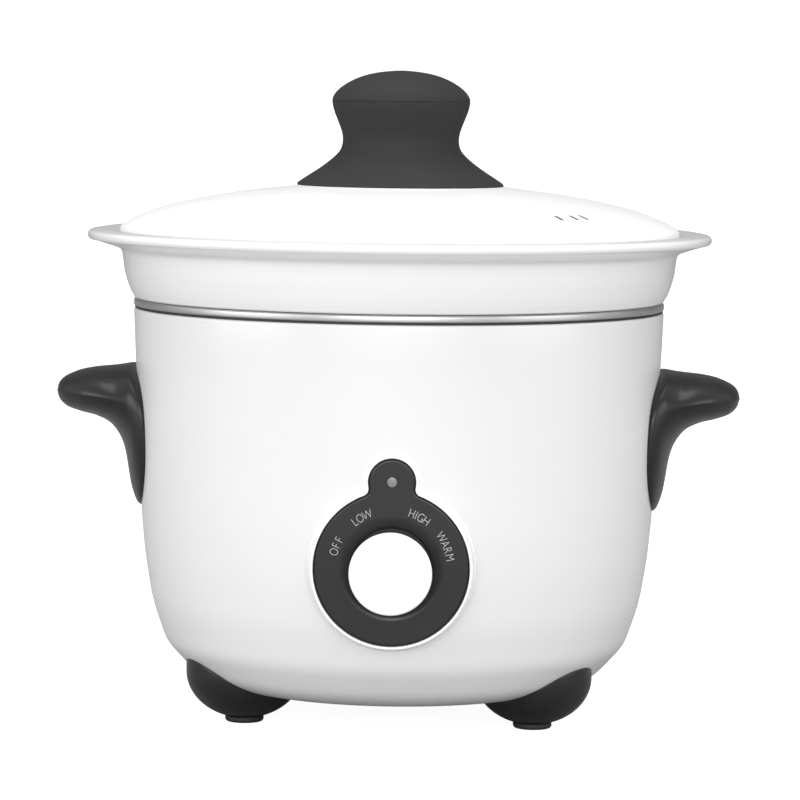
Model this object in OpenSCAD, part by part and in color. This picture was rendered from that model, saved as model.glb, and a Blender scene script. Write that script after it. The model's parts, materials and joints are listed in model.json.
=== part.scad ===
// Round electric slow cooker: heated base, lift-out stoneware crock and lid.
// Origin at the centre of the table footprint, +Z up, control panel towards -Y. Millimetres.

/* [Body] */
// Radius of the body at its rim
body_r = 87.5; // [85:0.1:92]
// Height of the body's rim above the table
body_h = 134.3; // [132:0.1:136]
// Height of the flat underside above the table
under_z = 9.4; // [9:0.1:10]
// Wall thickness of the body shell
shell_t = 1.6; // [1.2:0.1:2]

/* [Crock and lid] */
// Largest radius of the crock's lip
lip_r = 102.7; // [100:0.1:105]
// Height of the top of the lip above the table
lip_z = 160.1; // [159:0.1:161]
// Radius of the lid
lid_r = 92; // [90:0.2:92.4]
// Wall thickness of the crock
crock_t = 5; // [4:0.1:5.5]
// Overall height to the top of the lid knob
top_z = 212.6; // [210:0.1:216]

/* [Control panel] */
// Height of the control knob's axis above the table
panel_z = 58.4; // [57:0.1:60]
// Radius of the round part of the bezel
bezel_r = 24.3; // [23:0.1:25]
// Radius of the bezel's top lobe
lobe_r = 7.4; // [6.5:0.1:8]
// Distance from the knob axis up to the indicator lamp
lobe_up = 27; // [26:0.1:28]
// Radius of the control knob
knob_r = 12.7; // [12:0.1:13.4]
// How far the front of the panel stands from the body's axis
panel_y = 87; // [86.8:0.1:89]

/* [Handles and feet] */
// Reach of the handle tips from the body's axis
handle_x = 113; // [108:0.2:118]
// Height of the handle's top edge where it meets the body
handle_z = 115.5; // [113:0.5:118]
// Radius of a foot
foot_r = 19.1; // [18:0.1:20]
// Distance of each foot's centre from the body's axis
foot_pcr = 54.4; // [52:0.2:56]
// Radius of a foot's rubber pad
pad_r = 6.4; // [5.5:0.1:7]

/* [Hidden] */

fine = 96;          // facets of large turned shapes
small = 32;         // facets of screws and other small turned shapes
seat_gap = 0.1;     // play between a piece and the seat it stands on

// --- curves ---------------------------------------------------------------------------------
// Smooth curve through a few points, with n steps between neighbours.
function mix(a, b, c, d, t) = 0.5 * ((2 * b) + (c - a) * t + (2 * a - 5 * b + 4 * c - d) * t * t
    + (3 * b - a - 3 * c + d) * t * t * t);
function curve(p, n = 4) = [
    for (i = [0:len(p) - 2]) for (k = [0:n - 1])
        mix(p[max(i - 1, 0)], p[i], p[i + 1], p[min(i + 2, len(p) - 1)], k / n),
    p[len(p) - 1]
];
// Arc of radius r about c, from angle a to angle b, in n steps.
function arc(c, r, a, b, n = 6) = [
    for (i = [0:n]) c + r * [cos(a + (b - a) * i / n), sin(a + (b - a) * i / n)]
];
// Path moved sideways by t, towards its left-hand side.
function heading(p, i) = let (d = p[min(i + 1, len(p) - 1)] - p[max(i - 1, 0)]) d / norm(d);
function beside(p, t) = [for (i = [0:len(p) - 1]) let (d = heading(p, i)) p[i] + t * [-d[1], d[0]]];
function reversed(p) = [for (i = [len(p) - 1:-1:0]) p[i]];

// Straight run of the body wall, used wherever a piece has to meet it.
wall_foot_z = 66;
wall_slope = 3 / (body_h - wall_foot_z);
function wall_r(z) = body_r - (body_h - z) * wall_slope;

// Body outline from the flat underside round the soft corner and up to the rim.
body_low = curve([
    [body_r - 43.4, under_z], [body_r - 35.4, under_z + 0.4], [body_r - 27.4, under_z + 2.1],
    [body_r - 20.6, under_z + 5.4], [body_r - 15.3, under_z + 10.6], [body_r - 11.5, under_z + 15.2],
    [body_r - 9.3, under_z + 20.7], [body_r - 6.8, under_z + 28.7], [body_r - 5.3, under_z + 36.8],
    [body_r - 4.1, under_z + 45], [wall_r(wall_foot_z), wall_foot_z]
], 3);
body_side = concat(body_low, [[body_r - 0.1, body_h - 2], [body_r - 0.5, body_h - 0.6]]);

module turned(p, f = fine) rotate_extrude($fn = f) polygon(p);
module along_y(y, x = 0, z = 0) translate([x, y, z]) rotate([-90, 0, 0]) children();
// Everything inside the body's outer surface, grown by g, for shaping what sits against it.
module body_solid(g = 0) turned(concat([[0, under_z - g]],
    beside(concat([[1, under_z]], body_side), -g), [[body_r - 0.5 + g, body_h + 5], [0, body_h + 5]]));

// Keyhole outline: a disc with a small lobe above it and fillets between, all grown by g.
module keyhole(g = 0) {
    fillet_r = 2.4 - g;
    big = bezel_r + g;
    lobe = lobe_r + g;
    cy = (pow(big + fillet_r, 2) - pow(lobe + fillet_r, 2) + lobe_up * lobe_up) / (2 * lobe_up);
    cx = sqrt(pow(big + fillet_r, 2) - cy * cy);
    circle(big, $fn = 72);
    translate([0, lobe_up]) circle(lobe, $fn = 40);
    difference() {
        polygon([[0, 0], [cx, cy], [0, lobe_up], [-cx, cy]]);
        for (s = [-1, 1]) translate([s * cx, cy]) circle(fillet_r, $fn = 24);
    }
}
// Keyhole plate from depth y0 to y1 behind the front, standing upright on the panel.
module keyhole_plate(g, y0, y1)
    translate([0, y1, panel_z]) rotate([90, 0, 0]) linear_extrude(y1 - y0) keyhole(g);
// Opening that clears a keyhole grown by g: two round holes and a straight-sided neck.
module keyhole_opening(g, y0, y1) {
    upright_disc(bezel_r + g, y0, y1, f = fine);
    upright_disc(lobe_r + g, y0, y1, 0, lobe_up, 64);
    translate([0, y1, panel_z]) rotate([90, 0, 0]) linear_extrude(y1 - y0)
        polygon([[-9.3, 23], [9.3, 23], [8.1, lobe_up - 0.4], [-8.1, lobe_up - 0.4]]);
}
module upright_disc(r, y0, y1, x = 0, z = 0, f = small)
    along_y(y0, x, panel_z + z) cylinder(h = y1 - y0, r = r, $fn = f);

// Panel depths, all measured along Y (front is -Y).
front = -panel_y;
bezel_face = front + 0.5;
bezel_back = front + 2.2;
floor_back = bezel_back + 1.6;
plate_y = floor_back + 4.2;       // front of the switch's mounting plate
plate_t = 1;
switch_back = plate_y + plate_t + 6;
shaft_r = 3;
screw_x = 15;                     // the switch plate's two screws, each side of the shaft

// --- fixings --------------------------------------------------------------------------------
// Round-headed screw: shank from 0 down to -len, domed head above 0, with a driver slot.
module screw(r, len, head_r, head_h) {
    difference() {
        union() {
            translate([0, 0, -len]) cylinder(h = len, r = r, $fn = small);
            turned(concat([[0, 0], [head_r, 0], [head_r, head_h * 0.35]],
                arc([head_r - head_h * 0.65, head_h * 0.35], head_h * 0.65, 0, 90, 4),
                [[0, head_h]]), small);
        }
        for (a = [0, 90]) rotate(a) translate([-head_r * 0.6, -0.35, head_h * 0.45])
            cube([head_r * 1.2, 0.7, head_h]);
    }
}
module hex_nut(flat_r, h, bore) difference() {
    cylinder(h = h, r = flat_r, $fn = 6);
    translate([0, 0, -1]) cylinder(h = h + 2, r = bore, $fn = small);
}
handle_screw_z = [84, 100];
handle_screw_r = 2;
function handle_screw_len(z) = z < 90 ? 3.8 : 11;
function handle_screw_x(z) = wall_r(z) - shell_t - 0.2;
foot_turn = -3.4;                   // the three feet are set round a little from the front
foot_angles = [210, 330, 90];     // left front, right front and rear
module at_foot(i) rotate(foot_angles[i] + foot_turn) translate([foot_pcr, 0, 0]) children();
foot_screw_r = 1.9;
gland_z = 36;
gland_bore = 3.4;
gland_len = 10.4;                 // length of the bore that grips the lead
gland_out = 92;                   // outer end of the gland, measured along +Y
gland_in = 70.5;                  // inner end of its threaded neck

// --- body -----------------------------------------------------------------------------------
module outer_shell() color("white") difference() {
    turned(concat(body_side, [[body_r - 1.1, body_h]], reversed(concat(beside(body_low, shell_t),
        [[body_r - 0.1 - shell_t, body_h - 2], [body_r - shell_t - 0.4, body_h]]))));
    keyhole_opening(1.5, front - 5, -70);
    for (s = [-1, 1], z = handle_screw_z) translate([s * 75, 0, z]) rotate([0, s * 90, 0])
        cylinder(h = 20, r = handle_screw_r + 0.15, $fn = small);
    for (i = [0:2]) at_foot(i) cylinder(h = 20, r = foot_screw_r + 0.1, $fn = small);
    along_y(60, 0, gland_z) cylinder(h = 30, r = 5.6, $fn = small);
}

module panel_surround() color("white") difference() {
    keyhole_plate(1.35, front, -77);
    keyhole_plate(0.08, front - 1, bezel_back);
    keyhole_plate(-0.9, floor_back, -70);
    upright_disc(5.2, front, -70);
    upright_disc(2.6, front, -70, 0, lobe_up);
    screw_holes(1.3, bezel_back + 0.6, -70);
}
module screw_holes(r, y0, y1) for (s = [-1, 1]) upright_disc(r, y0, y1, s * screw_x);

module control_bezel() color("dimgray") difference() {
    keyhole_plate(0, bezel_face, bezel_back);
    upright_disc(knob_r + 0.8, bezel_face - 1, bezel_back + 1, f = 64);
    along_y(bezel_face - 0.2, 0, panel_z) cylinder(h = 1.3, r1 = knob_r + 2.1, r2 = knob_r + 0.8, $fn = 64);
    upright_disc(1.75, bezel_face - 1, bezel_back + 1, 0, lobe_up);
    upright_disc(2.5, bezel_back - 0.7, bezel_back + 1, 0, lobe_up);
}

module indicator_lens() color("silver") translate([0, bezel_back, panel_z + lobe_up]) rotate([90, 0, 0])
    turned(concat([[0, 0], [2.4, 0], [2.4, 0.6], [1.7, 0.6], [1.7, 1.6]],
        arc([0.9, 1.6], 0.8, 15, 75, 3), [[0, 2.45]]), small);

module indicator_lamp() color("orange") {
    along_y(bezel_back + 0.4, 0, panel_z + lobe_up) cylinder(h = 8, r = 2.2, $fn = small);
    for (s = [-1, 1]) along_y(bezel_back + 8.3, s, panel_z + lobe_up) cylinder(h = 4, r = 0.35, $fn = 16);
}

// The knob is a cup with a stem; it has a grip edge, a slightly domed face and a pointer groove.
knob_back = bezel_back - 0.4;
knob_front = bezel_face - 14.6;
knob_taper = 1.5;                 // how much smaller the knob is at its back
off_angle = 67;                   // the pointer's angle from straight up when it is off
module control_knob() color("white") difference() {
    translate([0, knob_back, panel_z]) rotate([90, 0, 0]) union() {
        turned(concat(
            [[knob_r - 0.6 - knob_taper, 0], [knob_r - knob_taper, 0],
             [knob_r, knob_back - knob_front - 2.2]],
            arc([knob_r - 2, knob_back - knob_front - 2.2], 2, 0, 84, 6),
            [[knob_r * 0.5, knob_back - knob_front], [0, knob_back - knob_front + 0.15],
             [0, knob_back - knob_front - 2], [knob_r - 3, knob_back - knob_front - 2.2],
             [knob_r - 2.4, knob_back - knob_front - 3.6]]), 72);
        cylinder(h = knob_back - knob_front - 1.9, r = 4.9, $fn = small);
    }
    difference() {
        upright_disc(shaft_r, knob_front + 2.2, 0);
        shaft_flat();
    }
    translate([0, 0, panel_z]) rotate([0, -off_angle, 0])
        translate([-0.45, knob_front - 1, knob_r * 0.62]) cube([0.9, 1.6, knob_r * 0.4]);
}
module shaft_flat() translate([-5, knob_front, panel_z + 1.9]) cube([10, 9, 5]);
module knob_spring() color("silver") translate([0, knob_back - 4, panel_z]) rotate([90, 60, 0])
    rotate_extrude(angle = 320, $fn = 48) translate([4.9, 0]) square([0.6, 2]);
module switch_shaft() color("silver") difference() {
    upright_disc(shaft_r, knob_front + 2.2, switch_back - 1.2);
    shaft_flat();
}

// --- rotary switch --------------------------------------------------------------------------
switch_w = 23;
module switch_body() color("khaki") difference() {
    union() {
        translate([-switch_w / 2, plate_y + plate_t, panel_z - switch_w / 2])
            cube([switch_w, switch_back - plate_y - plate_t, switch_w]);
        upright_disc(5, bezel_back + 0.1, plate_y + plate_t);
    }
    upright_disc(shaft_r + 0.05, front, switch_back - 1.1);
}
module switch_plate() color("silver") difference() {
    translate([-19.5, plate_y, panel_z - 7]) cube([39, plate_t, 14]);
    upright_disc(5.1, plate_y - 1, plate_y + 3);
    screw_holes(1.7, plate_y - 1, plate_y + 3);
}
module switch_screws() color("gray") for (s = [-1, 1])
    translate([s * screw_x, plate_y + plate_t, panel_z]) rotate([-90, 0, 0]) screw(1.3, 6, 2.6, 1.8);
module switch_terminals() color("gold") for (x = [-7.5, 0, 7.5])
    translate([x - 1.6, switch_back - 3.6, panel_z - switch_w / 2 - 6]) cube([3.2, 0.8, 6]);

// --- heating parts --------------------------------------------------------------------------
liner_t = 0.9;
liner_top_r = 74;                 // inside of the liner just below its rim
liner_low_z = 40;
liner_floor_z = 25.5;
function liner_r(z) = liner_top_r - (body_h - 2 - z) * 0.056;
liner_in = concat([[0, liner_floor_z]],
    arc([liner_r(liner_low_z) - 12, liner_floor_z + 12], 12, -90, 0, 6),
    [[liner_r(body_h - 3), body_h - 3]]);
rim_low = body_h + 0.7;           // underside of the steel rim
rim_top = body_h + 3;
rim_round = (rim_top - rim_low) / 2;
module heating_liner() color("silver") {
    turned(concat(liner_in, [[liner_top_r + 2.5, rim_top]],
        [[body_r - 1.3, rim_top]], arc([body_r - 1.3, rim_low + rim_round], rim_round, 90, -90, 8),
        [[liner_top_r + 3.1, rim_low]], reversed(beside(liner_in, -liner_t))));
}
module rim_gasket() color("black") turned([[body_r - 4, body_h], [body_r - 0.45, body_h],
    [body_r - 0.45, rim_low], [body_r - 4, rim_low]]);

// A conical sleeve round the liner, from z0 to z1, between two distances off the liner wall.
module sleeve(z0, z1, off0, off1, a) rotate(-90 + (360 - a) / 2) rotate_extrude(angle = a, $fn = fine)
    polygon([[liner_r(z0) + off0, z0], [liner_r(z0) + off1, z0], [liner_r(z1) + off1, z1],
             [liner_r(z1) + off0, z1]]);
module heater_band() color("tan") sleeve(76, 110, liner_t + 0.3, liner_t + 1.9, 330);
module band_strap() color("silver") {
    sleeve(86, 98, liner_t + 2, liner_t + 2.6, 332);
    for (s = [-1, 1]) rotate(-90 + s * 14.5) translate([liner_r(92) + liner_t + 2, -0.5, 86]) difference() {
        cube([6.5, 1, 12]);
        translate([3.6, 2, 6]) rotate([90, 0, 0]) cylinder(h = 4, r = 1.3, $fn = small);
    }
}
strap_screw_y = -(liner_r(92) + liner_t + 5.6) * cos(14.5);
module strap_screw() color("gray") {
    translate([-24, strap_screw_y, 92]) rotate([0, 90, 0]) cylinder(h = 48, r = 1, $fn = small);
    for (s = [-1, 1]) translate([s * 22.6 - (s > 0 ? 0 : 2), strap_screw_y, 92]) rotate([0, 90, 0])
        hex_nut(2.4, 2, 1);
}
module insulation_wrap() color("wheat") sleeve(72, 116, liner_t + 3, liner_t + 5, 300);

module thermal_fuse() color("white") translate([-9, 14, 21.4]) rotate([0, 90, 0])
    cylinder(h = 18, r = 2.2, $fn = small);
module fuse_clip() color("silver") translate([-2, 14, 21.4]) difference() {
    translate([0, -4.5, -3]) cube([4, 9, 6]);
    translate([-1, 0, 0]) rotate([0, 90, 0]) cylinder(h = 6, r = 2.25, $fn = small);
}

// --- underside ------------------------------------------------------------------------------
cover_r = 46.5;
cover_z = under_z + shell_t + 0.1;
cover_screw_r = 44.6;
stud_low_z = 7.2;
stud_top_z = liner_floor_z - liner_t;
module base_cover() color("gray") difference() {
    union() {
        translate([0, 0, cover_z]) cylinder(h = 1.2, r = cover_r, $fn = fine);
        translate([0, 0, under_z + 0.4]) cylinder(h = 2, r = body_r - 44.6, $fn = fine);
    }
    translate([0, 0, cover_z + 0.2]) cylinder(h = 2, r = body_r - 46, $fn = fine);
    cylinder(h = 30, r = 3.1, $fn = small);
    for (a = [30:60:330]) rotate(a) for (x = [14:5:29])
        translate([x, -5, 0]) cube([1.8, 10, 20]);
    for (a = [0:120:240]) rotate(a + 30) translate([cover_screw_r, 0, 0])
        cylinder(h = 30, r = 1.15, $fn = small);
}
module cover_screws() color("gray") for (a = [0:120:240]) rotate(a + 30)
    translate([cover_screw_r, 0, cover_z + 1.2]) screw(1.1, 1.2, 1.8, 1.2);
module tie_stud() color("silver") {
    translate([0, 0, stud_low_z]) cylinder(h = stud_top_z - stud_low_z, r = 3, $fn = small);
    translate([0, 0, stud_top_z - 2]) cylinder(h = 2, r = 7, $fn = small);
}
module tie_nut() color("silver") translate([0, 0, cover_z - 1.2 - 4.2]) hex_nut(5.5, 4, 3);

// A foot is a hollow bowl whose open top follows the underside of the body.
foot_mid = 16.6;                  // height at which the bowl is widest
foot_low = 1.2;
module foot(i) color("dimgray") difference() {
    at_foot(i) difference() {
        turned(concat([[0, foot_low]], [for (a = [-78:6:0]) [foot_r * cos(a), foot_mid +
            (foot_mid - foot_low) * sin(a)]], [[foot_r, 30], [0, 30]]), 64);
        translate([0, 0, -1]) cylinder(h = 40, r = foot_screw_r + 0.1, $fn = small);
        cylinder(h = 3.2, r = pad_r - 1.2, $fn = 40);
        difference() {
            turned(concat([[0, 6.4], [8, 6.4]], [for (a = [-40:8:0]) [(foot_r - 2.4) * cos(a), foot_mid +
                (foot_mid - foot_low - 2.6) * sin(a)]], [[foot_r - 2.4, 31], [0, 31]]), 64);
            cylinder(h = 40, r = 4.6, $fn = small);
        }
    }
    body_solid(0.05);
}
module foot_left() foot(0);
module foot_right() foot(1);
module foot_rear() foot(2);
module foot_pad(i) color("black") at_foot(i) difference() {
    turned([[0, 0], [pad_r - 0.8, 0], [pad_r, 0.7], [pad_r, 1.7], [pad_r - 1.3, 1.7], [pad_r - 1.3, 3.1],
            [0, 3.1]], 40);
    cylinder(h = 8, r = 3.9, $fn = small);
    cylinder(h = 0.6, r = 4.4, $fn = small);
}
module foot_pad_left() foot_pad(0);
module foot_pad_right() foot_pad(1);
module foot_pad_rear() foot_pad(2);
module foot_screws() color("gray") for (i = [0:2]) at_foot(i) translate([0, 0, 3.2]) mirror([0, 0, 1])
    screw(foot_screw_r, 11.5, 3.6, 2.4);
module foot_nuts() color("silver") for (i = [0:2]) at_foot(i)
    translate([0, 0, under_z + shell_t + 1.9]) hex_nut(4, 2.8, foot_screw_r);

// --- handles --------------------------------------------------------------------------------
// The handle is a loft of closed rings. Each ring has a reach off the body wall, a top and a
// bottom height at its middle, a half width, and the height of its side rims.
handle_gap = 0.15;
h0 = handle_x - 86.3;
handle_rings = curve([
    // reach, top, bottom, half width, rim height
    [handle_gap, handle_z - 0.4, handle_z - 47.2, 26, handle_z - 20],
    [1.6, handle_z - 0.3, handle_z - 45.6, 26.4, handle_z - 19],
    [3.2, handle_z - 0.5, handle_z - 40, 25.4, handle_z - 16.5],
    [5.0, handle_z - 0.8, handle_z - 27.4, 24, handle_z - 14],
    [8.6, handle_z - 1.2, handle_z - 20.8, 22.8, handle_z - 12],
    [13.5, handle_z - 1.7, handle_z - 17.9, 20.8, handle_z - 10.6],
    [18.6, handle_z - 2.7, handle_z - 16.6, 17.2, handle_z - 10],
    [h0 - 4, handle_z - 4.2, handle_z - 15.6, 12, handle_z - 9.8],
    [h0 - 1, handle_z - 6.8, handle_z - 12.9, 6, handle_z - 9.8]
], 2);
ring_n = 28;
// Point k of a ring: the upper and lower halves are rounded, fuller than an ellipse.
function soft(v, e) = sign(v) * pow(abs(v), e);
function ring_point(r, k) = let (
    a = 360 * (k + 0.5) / ring_n,
    y = r[3] * soft(cos(a), 0.85),
    z = sin(a) > 0 ? r[4] + (r[1] - r[4]) * soft(sin(a), 0.8) : r[4] + (r[4] - r[2]) * soft(sin(a), 0.8),
    w = wall_r(z)
) [sqrt(w * w - y * y) + r[0], y, z];
// The back follows the body wall, as smaller and smaller rings about its middle.
back_z = handle_z - 24;
function shrunk(r, f) = [r[0], back_z + f * (r[1] - back_z), back_z + f * (r[2] - back_z), f * r[3],
    back_z + f * (r[4] - back_z)];
module handle() {
    back_rings = [for (f = [0.15:0.17:0.9]) shrunk(handle_rings[0], f)];
    rings = [for (r = concat(back_rings, handle_rings)) [for (k = [0:ring_n - 1]) ring_point(r, k)]];
    last = len(rings) - 1;
    pts = concat([for (r = rings) each r], [[wall_r(back_z) + handle_gap, 0, back_z],
        [handle_x, 0, handle_z - 9.8]]);
    root = len(pts) - 2;
    tip = len(pts) - 1;
    polyhedron(pts, concat(
        [for (i = [0:last - 1], k = [0:ring_n - 1]) let (n = (k + 1) % ring_n)
            [i * ring_n + k, (i + 1) * ring_n + k, i * ring_n + n]],
        [for (i = [0:last - 1], k = [0:ring_n - 1]) let (n = (k + 1) % ring_n)
            [(i + 1) * ring_n + k, (i + 1) * ring_n + n, i * ring_n + n]],
        [for (k = [0:ring_n - 1]) [k, (k + 1) % ring_n, root]],
        [for (k = [0:ring_n - 1]) [last * ring_n + (k + 1) % ring_n, last * ring_n + k, tip]]
    ), convexity = 6);
}
module handle_bored() color("dimgray") difference() {
    handle();
    for (z = handle_screw_z) translate([80, 0, z]) rotate([0, 90, 0])
        cylinder(h = handle_screw_x(z) + handle_screw_len(z) - 80, r = handle_screw_r, $fn = small);
}
module handle_right() handle_bored();
module handle_left() mirror([1, 0, 0]) handle_bored();
module handle_screws() color("gray") for (s = [-1, 1], z = handle_screw_z)
    translate([s * handle_screw_x(z), 0, z]) rotate([0, -s * 90, 0])
        screw(handle_screw_r, handle_screw_len(z), 3.2, 2);

// --- rear cable entry and wiring ------------------------------------------------------------
module cord_gland() color("dimgray") difference() {
    union() {
        along_y(gland_in, 0, gland_z) cylinder(h = gland_out - gland_in - 6, r = 5.5, $fn = 48);
        difference() {
            along_y(gland_out - 18, 0, gland_z) cylinder(h = 18, r1 = 10.4, r2 = 6.2, $fn = 48);
            body_solid(0.05);
        }
    }
    along_y(gland_out - gland_len, 0, gland_z) cylinder(h = gland_len + 1, r = gland_bore, $fn = 48);
    along_y(gland_in - 1, 0, gland_z) cylinder(h = gland_out - gland_in - gland_len + 1, r = 4.2, $fn = 48);
}
module gland_nut() color("gray") along_y(gland_in + 0.3, 0, gland_z) difference() {
    cylinder(h = 3, r = 8, $fn = 6);
    translate([0, 0, -1]) cylinder(h = 5, r = 5.5, $fn = 48);
}
block_y = 27;
module terminal_block() color("ivory") difference() {
    translate([-13, block_y - 5, cover_z + 1.3]) cube([26, 10, 8.5]);
    for (x = [-6.5, 6.5]) translate([x, block_y - 10, cover_z + 6]) rotate([-90, 0, 0])
        cylinder(h = 20, r = 1.6, $fn = small);
    for (x = [-6.5, 6.5]) translate([x, block_y, cover_z + 8]) cylinder(h = 10, r = 2, $fn = small);
}
// A lead is a tube swept along its own route.
lead_r = 1.1;
module tube(path, r, sides = 8) {
    n = len(path);
    rings = [for (i = [0:n - 1]) let (
        d = path[min(i + 1, n - 1)] - path[max(i - 1, 0)], t = d / norm(d),
        u0 = cross(t, [0, 0, 1]), u = norm(u0) < 0.2 ? [1, 0, 0] : u0 / norm(u0), v = cross(t, u)
    ) [for (k = [0:sides - 1]) path[i] + r * (cos(360 * k / sides) * u + sin(360 * k / sides) * v)]];
    polyhedron([for (q = rings) each q], concat(
        [[for (k = [0:sides - 1]) k]],
        [for (i = [0:n - 2], k = [0:sides - 1]) let (m = (k + 1) % sides)
            [i * sides + k, (i + 1) * sides + k, (i + 1) * sides + m, i * sides + m]],
        [[for (k = [sides - 1:-1:0]) (n - 1) * sides + k]]
    ), convexity = 6);
}
// Route from the terminal block round the inside of the wall to the switch, on side s.
function lead_route(s) = curve([
    [s * 6.5, block_y + 5.2, cover_z + 6], [s * 8, 40, 17], [s * 20, 50, 19], [s * 42, 46, 22.5],
    [s * 64, 35.4, 33], [s * 75, 12, 41], [s * 75.6, -10, 44], [s * 67, -37, 43], [s * 48, -59, 41],
    [s * 26, -71.2, panel_z - 18], [s * 8, -74.6, panel_z - 19]
], 3);
module lead_live() color("saddlebrown") tube(lead_route(1), lead_r);
module lead_neutral() color("steelblue") tube(lead_route(-1), lead_r);

// --- crock ----------------------------------------------------------------------------------
crock_seat = rim_top + seat_gap;  // flat ring of the shoulder that stands on the steel rim
neck_r = body_r + 3.6;            // neck just under the lip
lid_seat_z = lip_z - 4.4;
crock_round = 12.6 - 0.8 * crock_t;
crock_low = arc([liner_r(liner_low_z) - 14.4, 40], 12, -90, 0, 6);
crock_out = concat([[0, 28]], crock_low, [[liner_top_r - 2.4, crock_seat - 3]],
    arc([liner_top_r + 0.6, crock_seat - 3], 3, 180, 90, 4));
crock_neck = concat(arc([body_r - 1.2, crock_seat + 1.4], 1.4, -90, -10, 4),
    curve([[body_r + 0.9, crock_seat + 2.2], [body_r + 2, crock_seat + 5], [neck_r, lip_z - 10],
        [neck_r + 0.9, lip_z - 6.8], [neck_r + 4.8, lip_z - 5.1], [lip_r - 1.4, lip_z - 3.4]]),
    arc([lip_r - 1.5, lip_z - 1.9], 1.5, -60, 70, 5), [[lip_r - 3.6, lip_z - 0.1], [lip_r - 5.6, lip_z]]);
crock_in = concat([[lid_r + 1.6, lip_z - 0.5], [lid_r + 0.7, lip_z - 1.6], [lid_r + 0.6, lid_seat_z],
    [neck_r - crock_t, lid_seat_z], [neck_r - crock_t - 0.3, lip_z - 8]],
    curve([[neck_r - crock_t - 1.4, lip_z - 13], [neck_r - crock_t - 5, lip_z - 18],
        [liner_top_r - 4.4, crock_seat + 0.5], [liner_top_r - 2.8 - crock_t, crock_seat - 7]]),
    reversed(arc([liner_r(liner_low_z) - 15, 42], crock_round, -90, 0, 6)));
crock_floor_z = 42 - crock_round;
module crock() color("white") turned(concat(crock_out, crock_neck, crock_in, [[0, crock_floor_z]]));

// --- lid ------------------------------------------------------------------------------------
flange_z = top_z - 37.8;          // foot of the lid knob
lid_low = lid_seat_z + seat_gap;
lid_top = [[0, flange_z], [34, flange_z], [36, flange_z - 0.4], [52, flange_z - 2.3],
    [66, flange_z - 4.7], [78, flange_z - 7.6], [87, flange_z - 11], [lid_r - 1, flange_z - 13.3]];
lid_rib_r = neck_r - crock_t - 0.6; // rib under the lid that drops inside the crock's neck
slit_angles = [40.3, 45, 48.3];
module lid() color("white") difference() {
    turned(concat(lid_top, arc([lid_r - 1.4, lid_low + 1.4], 1.4, 30, -90, 4),
        [[lid_rib_r, lid_low], [lid_rib_r - 1, lid_low - 5], [lid_rib_r - 4.4, lid_low - 5],
         [lid_rib_r - 5, lid_low + 1.5]],
        reversed(beside([for (i = [1:5]) lid_top[i]], -4)), [[0, flange_z - 4]]));
    for (a = slit_angles) rotate(a - 90) translate([76.6, -0.8, lid_seat_z - 5.5]) cube([4.2, 1.6, 30]);
    cylinder(h = 300, r = 3.2, $fn = small);
}
module lid_gasket() color("gray") translate([0, 0, flange_z]) difference() {
    cylinder(h = 0.6, r = 30, $fn = fine);
    translate([0, 0, -1]) cylinder(h = 3, r = 3.2, $fn = small);
}
knob_low = flange_z + 0.05;
knob_edge = concat([[34, knob_low], [34.1, knob_low + 0.5], [33.3, knob_low + 1.2]],
    curve([[31.8, knob_low + 2.2], [27.7, knob_low + 4.8], [24.1, knob_low + 7.4],
        [20.9, knob_low + 10.1], [19.3, knob_low + 13], [19.3, knob_low + 16.4],
        [20.9, knob_low + 20.6], [21.8, knob_low + 23.4], [22.7, knob_low + 27.4]]),
    curve([[22.4, knob_low + 28.4], [20.9, knob_low + 31], [17.6, knob_low + 33.7],
        [12.2, knob_low + 36.2], [6, top_z - 0.4], [0, top_z]]));
module lid_knob() color("dimgray") difference() {
    turned(concat([[0, knob_low]], knob_edge));
    translate([0, 0, flange_z - 1]) cylinder(h = 1.65, r = 30.1, $fn = fine);
    translate([0, 0, flange_z - 1]) cylinder(h = 22, r = 2.5, $fn = small);
    difference() {
        turned([[0, knob_low - 1], [26, knob_low - 1], [24.5, knob_low + 3], [16, knob_low + 11],
            [15, knob_low + 20], [0, knob_low + 20]]);
        cylinder(h = 300, r = 6.5, $fn = small);
    }
}
module lid_washer() color("silver") translate([0, 0, flange_z - 5.2]) difference() {
    cylinder(h = 1.2, r = 9, $fn = 48);
    translate([0, 0, -1]) cylinder(h = 4, r = 3.2, $fn = small);
}
module lid_screw() color("silver") translate([0, 0, flange_z - 5.2]) mirror([0, 0, 1])
    screw(2.5, 22, 4.6, 2.6);

outer_shell();
panel_surround();
control_bezel();
indicator_lens();
indicator_lamp();
control_knob();
knob_spring();
switch_shaft();
switch_body();
switch_plate();
switch_screws();
switch_terminals();
heating_liner();
rim_gasket();
heater_band();
band_strap();
strap_screw();
insulation_wrap();
thermal_fuse();
fuse_clip();
base_cover();
cover_screws();
tie_stud();
tie_nut();
foot_left();
foot_right();
foot_rear();
foot_pad_left();
foot_pad_right();
foot_pad_rear();
foot_screws();
foot_nuts();
handle_left();
handle_right();
handle_screws();
cord_gland();
gland_nut();
terminal_block();
lead_live();
lead_neutral();
crock();
lid();
lid_gasket();
lid_knob();
lid_washer();
lid_screw();
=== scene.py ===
import json
import math

import bmesh
import bpy
from mathutils import Matrix, Vector


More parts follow.
